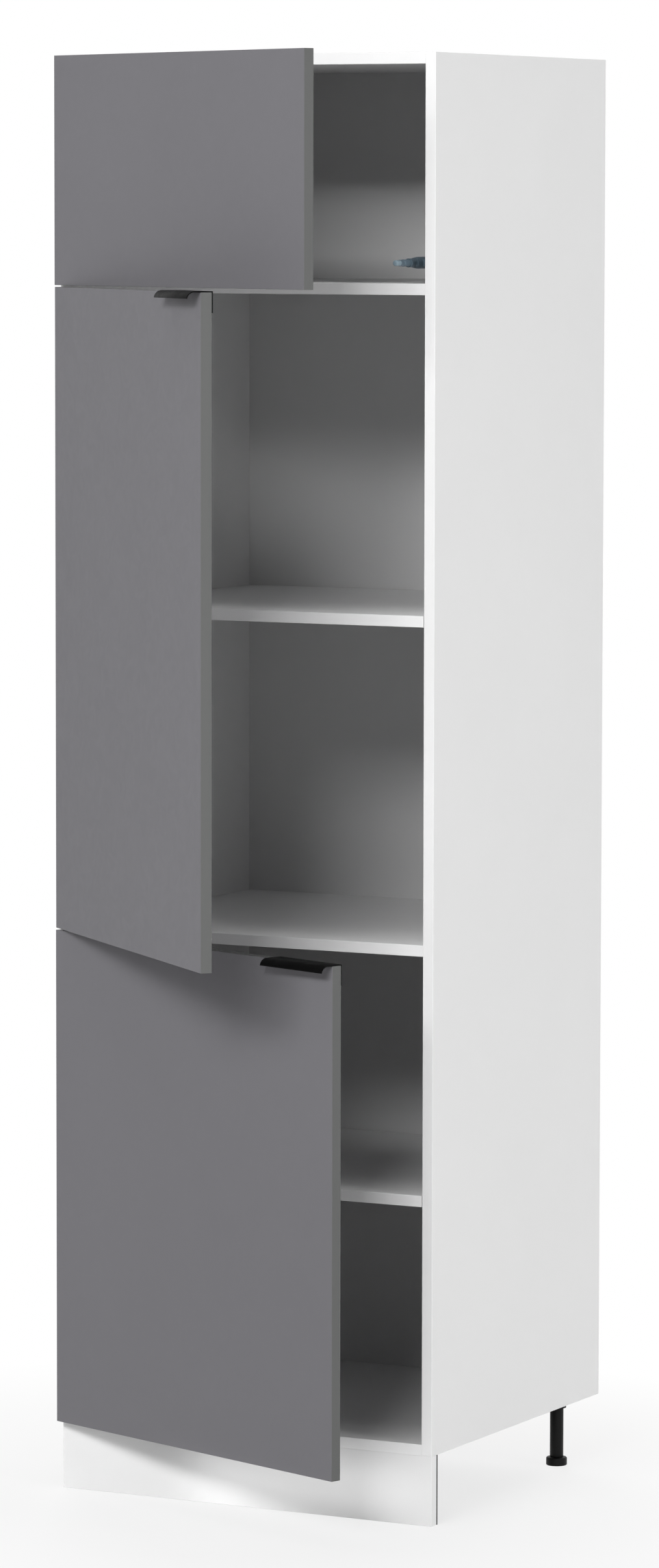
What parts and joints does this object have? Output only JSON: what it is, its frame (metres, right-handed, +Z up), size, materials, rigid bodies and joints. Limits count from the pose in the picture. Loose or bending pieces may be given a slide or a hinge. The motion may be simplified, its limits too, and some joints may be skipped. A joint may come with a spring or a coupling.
{
  "type": "tall kitchen cabinet",
  "caption": "Tall built-in kitchen cabinet with stacked hinged doors standing ajar, edge-pull handles, inner shelves, a push latch, adjustable legs and a plinth board.",
  "frame": {"origin": "middle of the plinth board's underside, on the floor", "axes": "+Z up, +X to the cabinet's right seen from the front, the front faces -Y"},
  "size_m": [0.6029, 0.9686, 2.07],
  "materials": {
    "white_board": "satin melamine face, white",
    "white_back": "satin foil face, white",
    "grey_front": "matt lacquered face, grey",
    "beech": "plain turned wood",
    "black_metal": "matt powder coat, black",
    "black_plastic": "moulded, black",
    "nickel": "nickel plated",
    "zinc": "zinc plated",
    "latch_grey": "moulded, dark blue grey",
    "latch_tip_grey": "moulded, blue grey",
    "clear_rubber": "soft clear pad"
  },
  "bodies": {
    "carcass": {"back_panel": "white_back", "bottom_panel": "white_board", "cam_bolts": "zinc", "cam_discs": "zinc", "dowels": "beech", "latch_adapter": "latch_grey", "latch_housing": "latch_grey", "latch_screws": "zinc", "latch_spring": "zinc", "left_side_panel": "white_board", "leg_mount_screws": "zinc", "leg_mounts": "black_plastic", "leg_tubes": "black_plastic", "lower_fixed_shelf": "white_board", "lower_hinge_arms": "nickel", "lower_hinge_plates": "nickel", "lower_loose_shelf": "white_board", "lower_plate_screws": "nickel", "middle_hinge_arms": "nickel", "middle_hinge_plates": "nickel", "middle_plate_screws": "nickel", "plinth_backing": "black_plastic", "plinth_board": "white_board", "plinth_clips": "black_plastic", "right_side_panel": "white_board", "shelf_pins": "nickel", "top_panel": "white_board", "upper_fixed_shelf": "white_board", "upper_hinge_arms": "nickel", "upper_hinge_plates": "nickel", "upper_loose_shelf": "white_board", "upper_plate_screws": "nickel"},
    "upper_door": {"upper_door_panel": "grey_front", "upper_hinge_cups": "nickel", "upper_hinge_pins": "nickel", "upper_cup_screws": "nickel", "upper_door_bumpers": "clear_rubber", "latch_strike": "zinc"},
    "middle_door": {"middle_door_panel": "grey_front", "middle_hinge_cups": "nickel", "middle_hinge_pins": "nickel", "middle_cup_screws": "nickel", "middle_door_bumpers": "clear_rubber", "middle_handle": "black_metal", "middle_handle_screws": "zinc"},
    "lower_door": {"lower_door_panel": "grey_front", "lower_hinge_cups": "nickel", "lower_hinge_pins": "nickel", "lower_cup_screws": "nickel", "lower_door_bumpers": "clear_rubber", "lower_handle": "black_metal", "lower_handle_screws": "zinc"},
    "latch_plunger_body": {"latch_plunger": "latch_grey", "latch_tip": "latch_tip_grey"},
    "front_left_foot_body": {"front_left_foot": "black_plastic"},
    "front_right_foot_body": {"front_right_foot": "black_plastic"},
    "rear_left_foot_body": {"rear_left_foot": "black_plastic"},
    "rear_right_foot_body": {"rear_right_foot": "black_plastic"}
  },
  "joints": [
    {"name": "upper_door_hinge", "type": "hinge", "parent": "carcass", "child": "upper_door", "pos_m": [-0.292, -0.0178, 1.907], "axis": [0, 0, -1], "range_deg": [-21.55, 84.6]},
    {"name": "middle_door_hinge", "type": "hinge", "parent": "carcass", "child": "middle_door", "pos_m": [-0.292, -0.0178, 1.2807], "axis": [0, 0, -1], "range_deg": [-40.7, 69.3]},
    {"name": "lower_door_hinge", "type": "hinge", "parent": "carcass", "child": "lower_door", "pos_m": [-0.292, -0.0178, 0.45875], "axis": [0, 0, -1], "range_deg": [-20.4, 89.6]},
    {"name": "latch_push", "type": "slide", "parent": "carcass", "child": "latch_plunger_body", "axis": [0, -1, 0], "range_m": [-0.0363, 0], "stiffness_N_per_m": 150, "springref_m": 0.005},
    {"name": "front_left_foot_turn", "type": "hinge", "parent": "carcass", "child": "front_left_foot_body", "pos_m": [-0.26, 0.052, 0.006], "axis": [0, 0, 1], "range_deg": [-180, 180]},
    {"name": "front_right_foot_turn", "type": "hinge", "parent": "carcass", "child": "front_right_foot_body", "pos_m": [0.26, 0.052, 0.006], "axis": [0, 0, 1], "range_deg": [-180, 180]},
    {"name": "rear_left_foot_turn", "type": "hinge", "parent": "carcass", "child": "rear_left_foot_body", "pos_m": [-0.26, 0.483, 0.006], "axis": [0, 0, 1], "range_deg": [-180, 180]},
    {"name": "rear_right_foot_turn", "type": "hinge", "parent": "carcass", "child": "rear_right_foot_body", "pos_m": [0.26, 0.483, 0.006], "axis": [0, 0, 1], "range_deg": [-180, 180]}
  ]
}
